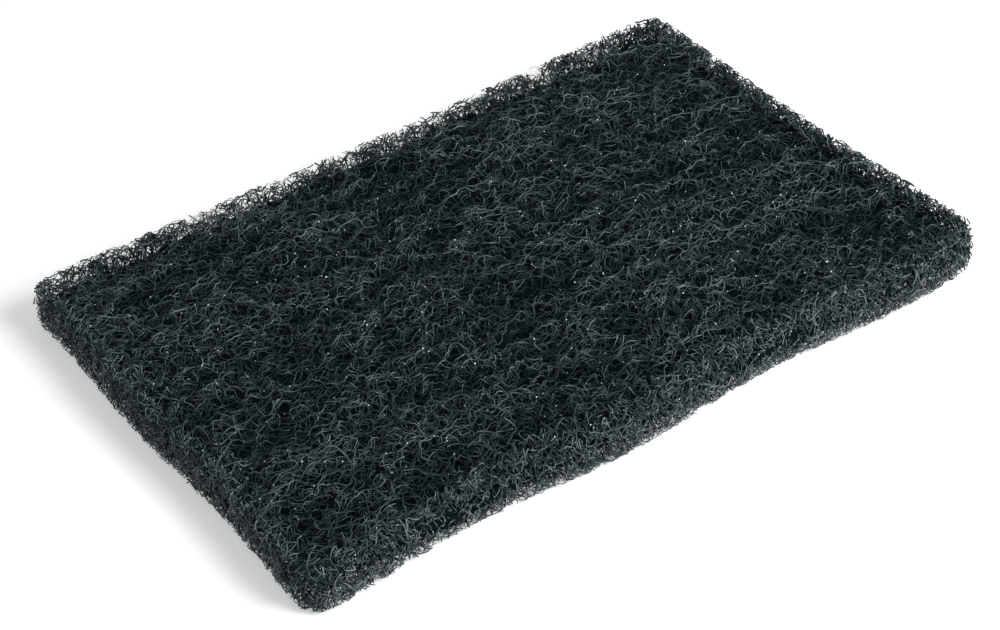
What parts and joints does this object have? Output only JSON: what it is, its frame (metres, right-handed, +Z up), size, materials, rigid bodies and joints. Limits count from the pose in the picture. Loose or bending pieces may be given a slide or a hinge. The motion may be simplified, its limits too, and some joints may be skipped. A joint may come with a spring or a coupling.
{
  "type": "grill scouring pad",
  "caption": "Thick rectangular scouring pad of coarse crimped nylon fibre bonded with grit, with rounded corners and soft cut sides, for scrubbing grills and griddles.",
  "frame": {"origin": "middle of the pad's outline, on the plane that it lies on", "axes": "+X along the long side, +Y across towards the back side, +Z up through the thickness"},
  "size_m": [0.15, 0.1, 0.0102],
  "materials": {
    "bonded_fibre": "open web of crimped nylon fibre, coated with dark charcoal resin and fine grit, matt with small glints"
  },
  "bodies": {
    "root": {"scouring_pad": "bonded_fibre"}
  },
  "joints": []
}
